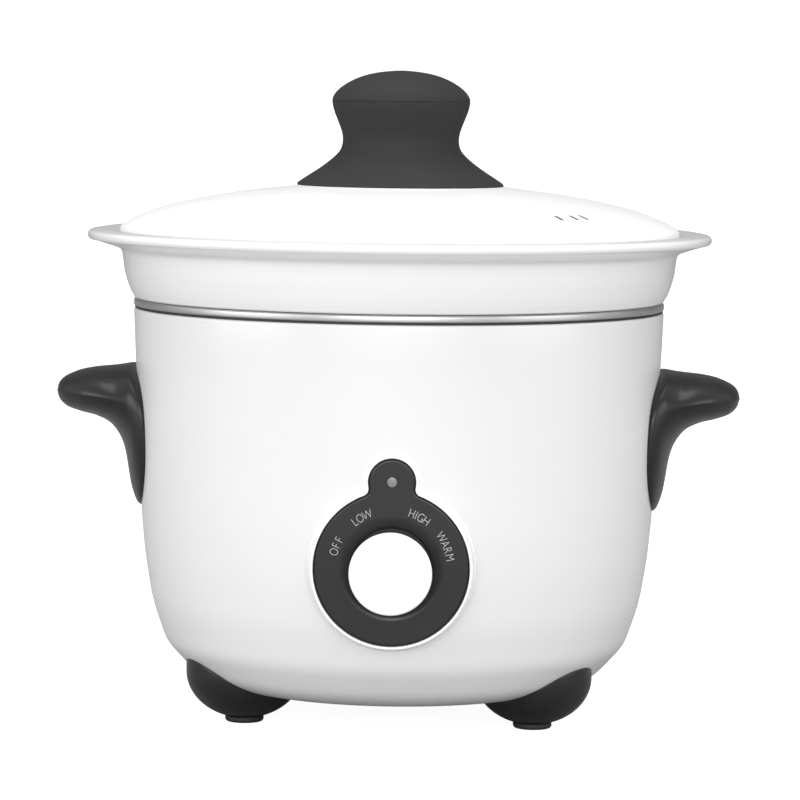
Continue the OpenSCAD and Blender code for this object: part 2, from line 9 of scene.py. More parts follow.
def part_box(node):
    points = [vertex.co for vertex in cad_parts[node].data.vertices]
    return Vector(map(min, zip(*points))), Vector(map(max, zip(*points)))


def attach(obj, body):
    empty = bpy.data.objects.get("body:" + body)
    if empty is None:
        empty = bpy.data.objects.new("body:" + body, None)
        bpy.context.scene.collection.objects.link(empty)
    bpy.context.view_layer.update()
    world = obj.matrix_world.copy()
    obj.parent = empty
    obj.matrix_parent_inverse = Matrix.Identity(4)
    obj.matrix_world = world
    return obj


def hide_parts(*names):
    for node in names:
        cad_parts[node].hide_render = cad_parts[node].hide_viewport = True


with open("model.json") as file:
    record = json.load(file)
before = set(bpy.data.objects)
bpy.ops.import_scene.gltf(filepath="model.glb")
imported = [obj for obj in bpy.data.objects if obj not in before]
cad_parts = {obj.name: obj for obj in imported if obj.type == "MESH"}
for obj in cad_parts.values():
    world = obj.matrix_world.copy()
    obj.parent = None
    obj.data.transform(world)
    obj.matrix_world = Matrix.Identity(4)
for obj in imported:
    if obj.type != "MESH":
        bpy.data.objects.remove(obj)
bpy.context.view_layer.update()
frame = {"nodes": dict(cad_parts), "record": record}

MM = 0.001
FINE = 256                 # points round a large turned piece


# --- node materials --------------------------------------------------------------------------
class Finish:
    """A node material under construction, with short calls for the nodes used here."""

    def __init__(self, name):
        self.material = bpy.data.materials.new(name)
        self.material.use_nodes = True
        self.tree = self.material.node_tree
        self.shader = self.tree.nodes["Principled BSDF"]
        self.place = self.tree.nodes.new("ShaderNodeTexCoord").outputs["Object"]

    def node(self, kind, **settings):
        made = self.tree.nodes.new(kind)
        for key, value in settings.items():
            setattr(made, key, value)
        return made

    def link(self, source, target):
        self.tree.links.new(source, target)

    def set(self, **values):
        for key, value in values.items():
            self.shader.inputs[key.replace("_", " ")].default_value = value

    def stretched(self, scale):
        mapping = self.node("ShaderNodeMapping")
        mapping.inputs["Scale"].default_value = scale
        self.link(self.place, mapping.inputs["Vector"])
        return mapping.outputs["Vector"]

    def noise(self, scale, detail=3.0, vector=None, rough=0.5):
        made = self.node("ShaderNodeTexNoise")
        made.inputs["Scale"].default_value = scale
        made.inputs["Detail"].default_value = detail
        made.inputs["Roughness"].default_value = rough
        self.link(vector or self.place, made.inputs["Vector"])
        return made.outputs["Fac"]

    def spread(self, value, low, high, start=0.3, end=0.7):
        made = self.node("ShaderNodeMapRange")
        limits = {"From Min": start, "From Max": end, "To Min": low, "To Max": high}
        for key, number in limits.items():
            made.inputs[key].default_value = number
        self.link(value, made.inputs["Value"])
        return made.outputs["Result"]

    def colours(self, value, stops):
        made = self.node("ShaderNodeValToRGB")
        ramp = made.color_ramp
        while len(ramp.elements) < len(stops):
            ramp.elements.new(0.5)
        for element, (place, colour) in zip(ramp.elements, stops):
            element.position = place
            element.color = (*colour, 1)
        self.link(value, made.inputs["Fac"])
        return made.outputs["Color"]

    def base(self, socket):
        self.link(socket, self.shader.inputs["Base Color"])

    def roughness(self, socket):
        self.link(socket, self.shader.inputs["Roughness"])

    def bumps(self, *layers):
        """Each layer is (height socket, strength, depth in metres)."""
        normal = None
        for height, strength, depth in layers:
            made = self.node("ShaderNodeBump")
            made.inputs["Strength"].default_value = strength
            made.inputs["Distance"].default_value = depth
            self.link(height, made.inputs["Height"])
            if normal:
                self.link(normal, made.inputs["Normal"])
            normal = made.outputs["Normal"]
        self.link(normal, self.shader.inputs["Normal"])


def shade(colour, amount):
    return tuple(max(0.0, min(1.0, channel * amount)) for channel in colour)


def moulded(name, colour, rough, grain=1400, grain_depth=0.00002, vary=0.06, coat=0.0, shine=0.5,
            wave=0.00004, patches=0.05):
    """Moulded plastic or rubber: fine surface grain, faint flow marks and uneven sheen."""
    made = Finish(name)
    marks = made.noise(28, 4)
    made.base(made.colours(marks, [(0.3, shade(colour, 1 - vary)), (0.7, shade(colour, 1 + vary))]))
    made.roughness(made.spread(made.noise(90, 3), rough - patches, rough + patches))
    made.bumps((made.noise(grain, 2), 0.35, grain_depth), (made.noise(60, 2), 0.05, wave))
    made.set(Coat_Weight=coat, Coat_Roughness=0.15, Specular_IOR_Level=shine)
    return made.material


def enamel(name, colour, rough, peel=420):
    """Sprayed and baked paint: orange-peel ripple under a clear gloss."""
    made = Finish(name)
    cloud = made.noise(9, 4)
    made.base(made.colours(cloud, [(0.25, shade(colour, 0.985)), (0.75, shade(colour, 1.01))]))
    made.roughness(made.spread(made.noise(35, 3), rough - 0.04, rough + 0.05))
    made.bumps((made.noise(peel, 2), 0.16, 0.00005), (made.noise(1900, 2), 0.08, 0.00001))
    made.set(Coat_Weight=0.35, Coat_Roughness=0.12)
    return made.material


def glaze(name, colour, rough, coat=0.5):
    """Fired glaze: soft waves, a few pinholes and clay specks under a glassy coat."""
    made = Finish(name)
    pool = made.noise(14, 3)
    specks = made.node("ShaderNodeTexVoronoi", feature="F1")
    specks.inputs["Scale"].default_value = 160
    made.link(made.place, specks.inputs["Vector"])
    mixer = made.node("ShaderNodeMix", data_type="RGBA", blend_type="MULTIPLY")
    mixer.inputs["Factor"].default_value = 1.0
    pool_stops = [(0.3, shade(colour, 0.985)), (0.7, shade(colour, 1.01))]
    made.link(made.colours(pool, pool_stops), mixer.inputs[6])
    speck_stops = [(0.02, (0.93, 0.92, 0.90)), (0.07, (1, 1, 1))]
    made.link(made.colours(specks.outputs["Distance"], speck_stops), mixer.inputs[7])
    made.base(mixer.outputs[2])
    made.roughness(made.spread(made.noise(22, 3), rough - 0.03, rough + 0.05))
    made.bumps((made.noise(48, 2), 0.10, 0.0004), (made.noise(520, 2), 0.06, 0.00003))
    made.set(Coat_Weight=coat, Coat_Roughness=0.10)
    return made.material


def metal(name, colour, rough, lines=(3, 3, 900)):
    """Drawn or plated metal with fine lines along one way and patchy sheen."""
    made = Finish(name)
    hair = made.noise(1.0, 3, made.stretched(lines))
    made.base(made.colours(hair, [(0.3, shade(colour, 0.88)), (0.7, shade(colour, 1.08))]))
    made.roughness(made.spread(hair, rough - 0.07, rough + 0.08))
    made.bumps((hair, 0.15, 0.00003), (made.noise(40, 2), 0.08, 0.0002))
    made.set(Metallic=1.0)
    return made.material


def woven(name, colour, pitch):
    """Glass-fibre cloth: crossing threads with frayed tone."""
    made = Finish(name)
    waves = []
    for direction in ("X", "Z"):
        thread = made.node("ShaderNodeTexWave", wave_type="BANDS", bands_direction=direction)
        thread.inputs["Scale"].default_value = 1 / pitch
        thread.inputs["Distortion"].default_value = 1.5
        made.link(made.place, thread.inputs["Vector"])
        waves.append(thread.outputs["Fac"])
    cross = made.node("ShaderNodeMath", operation="MAXIMUM")
    made.link(waves[0], cross.inputs[0])
    made.link(waves[1], cross.inputs[1])
    made.base(made.colours(cross.outputs[0], [(0.1, shade(colour, 0.6)), (0.9, shade(colour, 1.1))]))
    made.roughness(made.spread(made.noise(60, 3), 0.75, 0.95))
    made.bumps((cross.outputs[0], 0.5, 0.0003))
    return made.material


CHARCOAL = (0.029, 0.029, 0.030)

# Each material slot's finish. The colours are linear, and are followed by the roughness.
FINISHES = {
    "white_shell": enamel("white_enamel", (0.745, 0.745, 0.742), 0.36),
    "white_plastic": moulded("white_plastic", (0.88, 0.88, 0.875), 0.26, 900, 0.00001, 0.015, 0.3),
    "charcoal_plastic": moulded("charcoal_plastic", CHARCOAL, 0.72, 1400, 0.000008, 0.05, 0.0, 0.16),
    "lens": moulded("grey_lens", (0.20, 0.20, 0.20), 0.22, 900, 0.00001, 0.1, 0.4),
    "lamp": moulded("amber_lamp", (0.85, 0.42, 0.16), 0.12, 900, 0.00001, 0.1, 0.8),
    "liner_steel": metal("drawn_steel", (0.56, 0.56, 0.555), 0.36),
    "steel": metal("plated_steel", (0.60, 0.60, 0.59), 0.34, (200, 200, 200)),
    "dark_rubber": moulded("black_rubber", (0.018, 0.018, 0.018), 0.62, 1100, 0.00004, 0.2),
    "stoneware": glaze("white_glaze", (0.80, 0.80, 0.797), 0.20),
    "lid_ceramic": glaze("lid_glaze", (0.90, 0.90, 0.895), 0.34, 0.12),
    "grey_silicone": moulded("grey_silicone", (0.32, 0.32, 0.32), 0.55),
    "switch_resin": moulded("switch_resin", (0.42, 0.36, 0.22), 0.45),
    "brass": metal("plated_brass", (0.74, 0.56, 0.25), 0.28, (200, 200, 200)),
    "mica": woven("heater_weave", (0.50, 0.40, 0.26), 0.0016),
    "insulation": woven("blanket_weave", (0.80, 0.77, 0.70), 0.003),
    "fuse_ceramic": moulded("bare_ceramic", (0.80, 0.80, 0.76), 0.6),
    "cover_plastic": moulded("grey_plastic", (0.12, 0.12, 0.125), 0.5),
    "block_plastic": moulded("ivory_plastic", (0.74, 0.70, 0.58), 0.4),
    "lead_brown": moulded("brown_wire", (0.16, 0.07, 0.03), 0.45),
    "lead_blue": moulded("blue_wire", (0.03, 0.09, 0.30), 0.45),
}
SLOT_OF = {row["node"]: row["material_slot"] for row in frame["record"]["subparts"]}
SATIN = moulded("charcoal_satin", (0.0125, 0.0125, 0.013), 0.30, 1400, 0.00002, 0.02, 0.0, 0.40,
                0.0, 0.006)
PRINT = moulded("dial_print", (0.46, 0.46, 0.46), 0.5)
# Dark grey painted shade for the walls of the lid's steam slits.
SLIT_SHADE = moulded("slit_painted_shade", (0.17, 0.17, 0.165), 0.8)


# --- camera, lights and floor ----------------------------------------------------------------
VIEW_DISTANCE = 1.30       # from the object's axis to the lens, metres
VIEW_YAW = 1.0             # degrees, camera walked round to the right
VIEW_DROP = 0.0595         # how far the sight line to the steel ring drops, per metre
VIEW_PITCH = 4.77          # degrees below level
VIEW_ROLL = 0.659          # degrees
LENS = 177.3               # focal length, millimetres
AIM_SIDE = -0.03           # degrees the camera is swung to the left; negative is right
PAPER_GLOW = 0.94          # how bright the floor shows to the camera
SKY_GLOW = 0.74            # how bright the sky is all round


def add_camera():
    ring_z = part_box("rim_gasket")[1].z
    eye = Vector((0, -VIEW_DISTANCE, ring_z + VIEW_DROP * VIEW_DISTANCE))
    turn = Matrix.Rotation(math.radians(VIEW_YAW), 4, "Z")
    side = Matrix.Rotation(math.radians(AIM_SIDE), 4, "Z")
    aim = Matrix.Rotation(math.radians(90 - VIEW_PITCH), 4, "X")
    roll = Matrix.Rotation(math.radians(VIEW_ROLL), 4, "Z")
    data = bpy.data.cameras.new("camera")
    data.lens = LENS
    data.sensor_width = 36
    data.clip_end = 50
    camera = bpy.data.objects.new("camera", data)
    camera.matrix_world = turn @ Matrix.Translation(eye) @ side @ aim @ roll
    bpy.context.scene.collection.objects.link(camera)
    bpy.context.scene.camera = camera


def add_light(name, place, aim, energy, width, height):
    data = bpy.data.lights.new(name, "AREA")
    data.shape = "RECTANGLE"
    data.energy = energy
    data.size = width
    data.size_y = height
    light = bpy.data.objects.new(name, data)
    light.location = place
    light.rotation_euler = (Vector(aim) - Vector(place)).to_track_quat("-Z", "Y").to_euler()
    bpy.context.scene.collection.objects.link(light)


def paper():
    """White paper: it gives back a soft bounce, and shows as clean white to the camera."""
    made = Finish("floor_paper")
    made.base(made.colours(made.noise(3, 2), [(0.3, (0.33, 0.33, 0.33)), (0.7, (0.35, 0.35, 0.35))]))
    made.roughness(made.spread(made.noise(20, 2), 0.85, 0.95))
    seen = made.node("ShaderNodeLightPath").outputs["Is Camera Ray"]
    made.set(Emission_Color=(1, 1, 1, 1))
    made.link(made.spread(seen, 0.0, PAPER_GLOW, 0.0, 1.0), made.shader.inputs["Emission Strength"])
    return made.material


def add_floor():
    """A white sweep: a flat floor that curves up into a wall behind the object."""
    near, back, radius, steps, half, top = -4.0, 3.0, 1.5, 16, 8.0, 8.0
    line = [(near, 0.0)]
    line += [(back + radius * math.sin(a), radius * (1 - math.cos(a)))
             for a in (math.pi / 2 * k / steps for k in range(steps + 1))]
    line.append((back + radius, top))
    verts, faces = [], []
    for y, z in line:
        verts += [(-half, y, z), (half, y, z)]
    for k in range(len(line) - 1):
        faces.append((2 * k, 2 * k + 1, 2 * k + 3, 2 * k + 2))
    mesh = bpy.data.meshes.new("floor")
    mesh.from_pydata(verts, [], faces)
    mesh.polygons.foreach_set("use_smooth", [True] * len(faces))
    mesh.materials.append(paper())
    floor = bpy.data.objects.new("floor", mesh)
    bpy.context.scene.collection.objects.link(floor)


def add_studio():
    """Soft light from above, in front and both sides, under an even white sky."""
    mid = Vector((0, 0, 0.1))
    add_light("overhead", (0.0, -0.2, 1.9), mid, 22, 1.6, 1.4)
    add_light("front", (-0.05, -2.6, 0.75), mid, 13, 3.0, 1.2)
    add_light("strip", (-0.05, -2.4, 0.52), mid, 17, 1.6, 0.12)
    add_light("left", (-1.9, -0.9, 0.5), mid, 14, 1.4, 1.2)
    add_light("right", (1.9, -0.9, 0.5), mid, 10.5, 1.4, 1.2)
    sky = bpy.data.worlds.new("studio")
    sky.use_nodes = True
    ground = sky.node_tree.nodes["Background"]
    ground.inputs["Color"].default_value = (1, 1, 1, 1)
    ground.inputs["Strength"].default_value = SKY_GLOW
    bpy.context.scene.world = sky
    bpy.context.scene.view_settings.view_transform = "Standard"
    add_floor()


add_camera()
add_studio()


# --- mesh helpers ----------------------------------------------------------------------------
def spline(points, steps=6):
    """Smooth curve through the points (uniform Catmull-Rom)."""
    out = []
    last = len(points) - 1
    for i in range(last):
        a, b, c, d = (Vector(points[max(0, min(last, i + k))]) for k in (-1, 0, 1, 2))
        for k in range(steps):
            t = k / steps
            out.append(0.5 * (2 * b + (c - a) * t + (2 * a - 5 * b + 4 * c - d) * t ** 2
                              + (3 * b - a - 3 * c + d) * t ** 3))
    out.append(Vector(points[last]))
    return out


def flow(points, steps=6):
    """Soft curve that starts and ends on its end points and passes close to those between."""
    points = [Vector(p) for p in points]
    line = [2 * points[0] - points[1]] + points + [2 * points[-1] - points[-2]]
    out = []
    for a, b, c, d in zip(line, line[1:], line[2:], line[3:]):
        for k in range(steps):
            t = k / steps
            out.append((a * (1 - t) ** 3 + b * (3 * t ** 3 - 6 * t ** 2 + 4)
                        + c * (-3 * t ** 3 + 3 * t ** 2 + 3 * t + 1) + d * t ** 3) / 6)
    return out + [points[-1]]


def arc(centre, radius, start, end, steps=8):
    """Points on a circle between two angles in degrees."""
    out = []
    for k in range(steps + 1):
        a = math.radians(start + (end - start) * k / steps)
        out.append(Vector((centre[0] + radius * math.cos(a), centre[1] + radius * math.sin(a))))
    return out


def beside(path, distance):
    """The path moved towards its left-hand side."""
    out = []
    for i, point in enumerate(path):
        d = (path[min(i + 1, len(path) - 1)] - path[max(i - 1, 0)]).normalized()
        out.append(point + distance * Vector((-d.y, d.x)))
    return out


def finish_mesh(name, bm, slot, body, nodes, sharp):
    """A visible piece from a bmesh, with edges sharper than an angle in degrees kept crisp."""
    bmesh.ops.recalc_face_normals(bm, faces=bm.faces)
    for face in bm.faces:
        face.smooth = True
    limit = math.radians(sharp)
    for edge in bm.edges:
        if edge.is_manifold and edge.calc_face_angle(0) > limit:
            edge.smooth = False
    mesh = bpy.data.meshes.new(name)
    bm.to_mesh(mesh)
    bm.free()
    mesh.materials.append(FINISHES[slot])
    piece = bpy.data.objects.new(name, mesh)
    bpy.context.scene.collection.objects.link(piece)
    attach(piece, body)
    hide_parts(*nodes)
    return piece


def band(bm, low, high):
    """Quads between two rings of vertices with as many points each."""
    for k in range(len(low)):
        n = (k + 1) % len(low)
        bm.faces.new((low[k], low[n], high[n], high[k]))


def skin_rings(bm, rings, first_tip, last_tip):
    """Quads between successive rings of points, closed to a point at both ends."""
    made = [[bm.verts.new(p) for p in ring] for ring in rings]
    for low, high in zip(made, made[1:]):
        band(bm, low, high)
    for ring, place in ((made[0], first_tip), (made[-1], last_tip)):
        tip = bm.verts.new(place)
        for k in range(len(ring)):
            bm.faces.new((ring[k], ring[(k + 1) % len(ring)], tip))


def lathe(name, outline, slot, body, nodes, segments=FINE, centre=(0, 0), sharp=35,
          upright=None):
    """Turned closed form from an outline of (radius, height) in millimetres. A radius of zero
    is a pole. upright=(y, z) turns it about a line along Y there instead, heights towards -Y."""
    bm = bmesh.new()
    columns = []
    for point in outline:
        radius, height = point[0], point[1]
        count = 1 if radius < 1e-6 else segments
        column = []
        for k in range(count):
            a = math.tau * k / segments
            x, y = radius * math.cos(a), radius * math.sin(a)
            if upright is None:
                place = (centre[0] + x, centre[1] + y, height)
            else:
                place = (centre[0] + x, upright[0] - height, upright[1] + y)
            column.append(bm.verts.new(Vector(place) * MM))
        columns.append(column)
    for i, low in enumerate(columns):
        high = columns[(i + 1) % len(columns)]
        if len(low) == 1 and len(high) == 1:
            continue
        if len(low) > 1 and len(high) > 1:
            band(bm, low, high)
            continue
        for k in range(segments):
            n = (k + 1) % segments
            if len(low) == 1:
                bm.faces.new((low[0], high[n], high[k]))
            else:
                bm.faces.new((low[k], low[n], high[0]))
    return finish_mesh(name, bm, slot, body, nodes, sharp)


def satin(piece):
    """The charcoal of the handles, feet and bezel, smoother than that of the lid knob."""
    piece.data.materials[0] = SATIN
    return piece


# --- sizes read from the frame, in millimetres -----------------------------------------------
def reach(node):
    """The low and high corners of a node's box."""
    low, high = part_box(node)
    return low / MM, high / MM


shell_low, shell_high = reach("outer_shell")
BODY_R, BODY_H, UNDER_Z = shell_high.x, shell_high.z, shell_low.z
WALL_FOOT = 66.0
WALL_SLOPE = 3.0 / (BODY_H - WALL_FOOT)


def wall_r(z):
    """Radius of the body's straight, slightly tapered wall at height z."""
    return BODY_R - (BODY_H - z) * WALL_SLOPE


# The rounded foot of the body, as (inset from its top radius, height above its underside).
LOW_POINTS = [(43.4, 0), (35.4, 0.4), (27.4, 2.1), (20.6, 5.4), (15.3, 10.6), (11.5, 15.2),
              (9.3, 20.7), (6.8, 28.7), (5.3, 36.8), (4.1, 45)]
BODY_LOW = spline([(BODY_R - inset, UNDER_Z + up) for inset, up in LOW_POINTS]
                  + [(wall_r(WALL_FOOT), WALL_FOOT)], 8)


def body_r(z):
    """Outer radius of the body at height z."""
    if z >= WALL_FOOT:
        return wall_r(z)
    for a, b in zip(BODY_LOW, BODY_LOW[1:]):
        if a.y <= z <= b.y and b.y > a.y:
            return a.x + (b.x - a.x) * (z - a.y) / (b.y - a.y)
    return BODY_LOW[0].x


def body_z(r):
    """Height of the body's underside at radius r."""
    for a, b in zip(BODY_LOW, BODY_LOW[1:]):
        if a.x <= r <= b.x:
            return a.y + (b.y - a.y) * (r - a.x) / max(b.x - a.x, 1e-9)
    return UNDER_Z if r < BODY_LOW[0].x else BODY_H


def cut(piece, *tools):
    """Take the tools' shapes away from the piece for good."""
    for tool in tools:
        step = piece.modifiers.new("cut", "BOOLEAN")
        step.operation = "DIFFERENCE"
        step.solver = "EXACT"
        step.object = tool
    bpy.context.view_layer.update()
    shaped = piece.evaluated_get(bpy.context.evaluated_depsgraph_get())
    mesh = bpy.data.meshes.new_from_object(shaped)
    piece.modifiers.clear()
    piece.data = mesh
    for tool in tools:
        bpy.data.objects.remove(tool)


def solid(name, bm):
    """A bare closed shape, only ever used as a cutting tool."""
    bmesh.ops.recalc_face_normals(bm, faces=bm.faces)
    mesh = bpy.data.meshes.new(name)
    bm.to_mesh(mesh)
    bm.free()
    tool = bpy.data.objects.new(name, mesh)
    bpy.context.scene.collection.objects.link(tool)
    return tool


def prism(name, first, last, slot_index=0):
    """Cutting tool: a bar between two outlines, leaving a material slot's finish on its cuts."""
    bm = bmesh.new()
    ends = [[bm.verts.new(p) for p in outline] for outline in (first, last)]
    for end in ends:
        bm.faces.new(end)
    band(bm, *ends)
    for face in bm.faces:
        face.material_index = slot_index
    return solid(name, bm)


def rod(radius, start, end, segments=64):
    """Cutting tool: a round rod between two points in millimetres."""
    start, end = Vector(start) * MM, Vector(end) * MM
    along = end - start
    turn = along.to_track_quat("Z", "Y").to_matrix().to_4x4()
    bm = bmesh.new()
    bmesh.ops.create_cone(bm, cap_ends=True, segments=segments, radius1=radius * MM,
                          radius2=radius * MM, depth=along.length,
                          matrix=Matrix.Translation((start + end) / 2) @ turn)
    return solid("rod", bm)


# --- control panel: keyhole outline shared by the surround and the bezel ---------------------
panel_low, panel_high = reach("panel_surround")
bezel_low, bezel_high = reach("control_bezel")
knob_low, knob_high = reach("control_knob")
lens_low, lens_high = reach("indicator_lens")
PANEL_Z = (knob_low.z + knob_high.z) / 2
KNOB_R = knob_high.x
BEZEL_R = bezel_high.x
LOBE_UP = (lens_low.z + lens_high.z) / 2 - PANEL_Z
LOBE_R = bezel_high.z - PANEL_Z - LOBE_UP
FRONT, BEZEL_FACE, BEZEL_BACK = panel_low.y, bezel_low.y, bezel_high.y
PANEL_BACK = panel_high.y
FLOOR_BACK = BEZEL_BACK + 1.6
BIG_STEPS, FILLET_STEPS, LOBE_STEPS = 56, 12, 28
SHAFT_HOLE_R, LAMP_HOLE_R, SCREW_HOLE_R, SCREW_X = 5.2, 2.6, 1.3, 15
LENS_R, LENS_HOLE_R, SHAFT_R = 1.66, 1.74, 3.02


def keyhole(grow):
    """The keyhole outline grown by an amount, as (x, z) about the knob's axis."""
    fillet, big, lobe = 2.4 - grow, BEZEL_R + grow, LOBE_R + grow
    cz = ((big + fillet) ** 2 - (lobe + fillet) ** 2 + LOBE_UP ** 2) / (2 * LOBE_UP)
    cx = math.sqrt((big + fillet) ** 2 - cz * cz)
    from_big = math.degrees(math.atan2(cz, cx))
    from_lobe = math.degrees(math.atan2(cz - LOBE_UP, cx))
    right = arc((0, 0), big, -90, from_big, BIG_STEPS)
    right += arc((cx, cz), fillet, from_big + 180, from_lobe + 180, FILLET_STEPS)[1:]
    right += arc((0, LOBE_UP), lobe, from_lobe, 90, LOBE_STEPS)[1:]
    return right + [Vector((-p.x, p.y)) for p in reversed(right[1:-1])]


def shell_y(x, z):
    """Front surface of the body at a point of the panel, z from the table."""
    return -math.sqrt(max(body_r(z) ** 2 - x * x, 0.0))


def upright_ring(outline, y):
    """Panel outline points placed at a depth."""
    return [Vector((p.x, y, PANEL_Z + p.y)) * MM for p in outline]


def spokes():
    """Angles on a circle for the outline's points. Those of the lobe sit close together, so that
    no line from outline to circle crosses the neck."""
    neck = math.degrees(math.atan2(keyhole(0)[BIG_STEPS].y, keyhole(0)[BIG_STEPS].x))
    right = [-90 + (neck + 90) * k / BIG_STEPS for k in range(BIG_STEPS + 1)]
    right += [neck + (80 - neck) * (k + 1) / FILLET_STEPS for k in range(FILLET_STEPS)]
    right += [80 + 10 * (k + 1) / LOBE_STEPS for k in range(LOBE_STEPS)]
    return [math.radians(a) for a in right + [180 - a for a in reversed(right[1:-1])]]


SPOKES = spokes()


def around_axis(radius):
    """A circle about the knob's axis with one point for each point of the keyhole outline."""
    return [Vector((radius * math.cos(a), radius * math.sin(a))) for a in SPOKES]


def ring_loft(name, rings, slot, body, nodes, sharp=35):
    """A closed tube of rings: the last ring joins back to the first."""
    bm = bmesh.new()
    made = [[bm.verts.new(p) for p in ring] for ring in rings]
    for low, high in zip(made, made[1:] + made[:1]):
        band(bm, low, high)
    return finish_mesh(name, bm, slot, body, nodes, sharp)


def surround_rings():
    """The raised frame's rings: up from the body wall, over its rounded front and down into the
    well that holds the bezel."""
    rings = [upright_ring(keyhole(1.3), PANEL_BACK)]
    outline = keyhole(0)
    drops = [max(shell_y(p.x * 1.06, PANEL_Z + p.y * 1.06) - FRONT, 0.6) for p in outline]
    grown = {}
    steps = 10
    for k in range(steps + 1):
        t = k / steps
        ring = []
        for i, drop in enumerate(drops):
            depth = (drop + 0.35) * (1 - t) + 0.45 * t
            grow = round(0.95 + 0.12 * depth + 0.85 * max(0.0, 1 - 2.2 * t) ** 2.2, 2)
            if grow not in grown:
                grown[grow] = keyhole(min(grow, 2.3))
            p = grown[grow][i]
            ring.append(Vector((p.x, FRONT + depth, PANEL_Z + p.y)) * MM)
        rings.append(ring)
    for a in (15, 30, 45, 60, 75, 90):
        t = math.radians(a)
        outline = keyhole(0.55 + 0.45 * math.cos(t))
        rings.append(upright_ring(outline, FRONT + 0.45 - 0.45 * math.sin(t)))
    for a in (0, 30, 60, 90):
        t = math.radians(a)
        outline = keyhole(0.35 - 0.25 * math.sin(t))
        rings.append(upright_ring(outline, FRONT + 0.25 - 0.25 * math.cos(t)))
    for path, depth in ((keyhole(0.1), BEZEL_BACK), (around_axis(SHAFT_HOLE_R), BEZEL_BACK),
                        (around_axis(SHAFT_HOLE_R), FLOOR_BACK), (keyhole(-0.9), FLOOR_BACK),
                        (keyhole(-0.9), PANEL_BACK)):
        rings.append(upright_ring(path, depth))
    return rings


def across(x, z, y0, y1, radius):
    """Cutting tool: a rod along Y at a point of the panel."""
    return rod(radius, (x, y0, PANEL_Z + z), (x, y1, PANEL_Z + z))


surround = ring_loft("surround", surround_rings(), "white_plastic", "base", ["panel_surround"])
cut(surround, across(0, LOBE_UP, FRONT, PANEL_BACK, LAMP_HOLE_R),
    *[across(x, 0, BEZEL_BACK + 0.6, PANEL_BACK, SCREW_HOLE_R) for x in (-SCREW_X, SCREW_X)])

# The floor of the well behind the bezel takes the charcoal finish as painted shade, so the gap round
# the knob stays dark.
surround.data.materials.append(FINISHES["charcoal_plastic"])
for face in surround.data.polygons:
    if abs(face.center.y / MM - BEZEL_BACK) < 0.02 and abs(face.normal.y) > 0.9:
        face.material_index = 1

# Bezel: rounded keyhole plate with a funnel-shaped dish round the knob.
DISH_R = KNOB_R - 0.2
DISH_WIDTH = 4.0
bezel_rings = [upright_ring(keyhole(0), BEZEL_BACK)]
edge_r = 0.8
for angle in range(0, 91, 15):
    t = math.radians(angle)
    bezel_rings.append(upright_ring(keyhole(-edge_r * (1 - math.cos(t))),
                                    BEZEL_FACE + edge_r * (1 - math.sin(t))))
bezel_rings.append(upright_ring(keyhole(-edge_r - 0.1), BEZEL_FACE))
bezel_rings.append(upright_ring(around_axis(DISH_R + DISH_WIDTH), BEZEL_FACE))
dish = [(3.8, 0.0), (3.0, 0.08), (2.1, 0.32), (1.3, 0.68), (0.65, 1.08), (0.2, 1.42), (0.0, 1.62)]
for out, depth in dish:
    bezel_rings.append(upright_ring(around_axis(DISH_R + out), BEZEL_FACE + depth))
bezel_rings.append(upright_ring(around_axis(DISH_R), BEZEL_BACK))
bezel = satin(ring_loft("bezel", bezel_rings, "charcoal_plastic", "base", ["control_bezel"], 50))
cut(bezel, across(0, LOBE_UP, BEZEL_FACE - 2, BEZEL_BACK + 2, LENS_HOLE_R))

# Indicator lens: a small domed disc, flush with the bezel.
lathe("lens", [(0, 0), (LENS_R, 0), (LENS_R, 1.2), *arc((LENS_R - 0.26, 1.15), 0.26, 20, 90, 4),
               (0.8, 1.46), (0, 1.5)],
      "lens", "base", ["indicator_lens"], 96, sharp=40,
      upright=(BEZEL_BACK - 0.05, PANEL_Z + LOBE_UP))

# Dial words, printed on the bezel along an arc: generic heat settings, at degrees from upright.
LETTER_H = 2.75
LETTER_R = 17.2
LETTER_SQUEEZE = 0.76
CAPITAL_SHARE = 0.69       # a capital's height as a share of the font's size
for word, middle in (("OFF", -67.5), ("LOW", -30.5), ("HIGH", 27.5), ("WARM", 67)):
    widths = [{"W": 1.28, "M": 1.15, "I": 0.42}.get(letter, 0.86) * LETTER_H * 0.86
              for letter in word]
    travel = -sum(widths) / 2
    for place, (letter, width) in enumerate(zip(word, widths)):
        swing = math.radians(middle) + (travel + width / 2) / (LETTER_R + LETTER_H / 2)
        travel += width
        curve = bpy.data.curves.new("letter", "FONT")
        curve.body = letter
        curve.align_x = "CENTER"
        curve.size = LETTER_H / CAPITAL_SHARE * MM
        curve.extrude = 0.03 * MM
        curve.offset = -0.08 * MM
        curve.resolution_u = 6
        shape = bpy.data.objects.new("letter", curve)
        bpy.context.scene.collection.objects.link(shape)
        bpy.context.view_layer.update()
        mesh = bpy.data.meshes.new_from_object(
            shape.evaluated_get(bpy.context.evaluated_depsgraph_get()))
        bpy.data.objects.remove(shape)
        at = Vector((LETTER_R * math.sin(swing), BEZEL_FACE - 0.02,
                     PANEL_Z + LETTER_R * math.cos(swing)))
        upright = Matrix.Rotation(math.pi / 2, 4, "X") @ Matrix.Scale(LETTER_SQUEEZE, 4, (1, 0, 0))
        mesh.transform(Matrix.Translation(at * MM) @ Matrix.Rotation(swing, 4, "Y") @ upright)
        mesh.materials.clear()
        mesh.materials.append(PRINT)
        printed = bpy.data.objects.new(f"dial_{word.lower()}_{place}", mesh)
        bpy.context.scene.collection.objects.link(printed)
        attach(printed, "base")

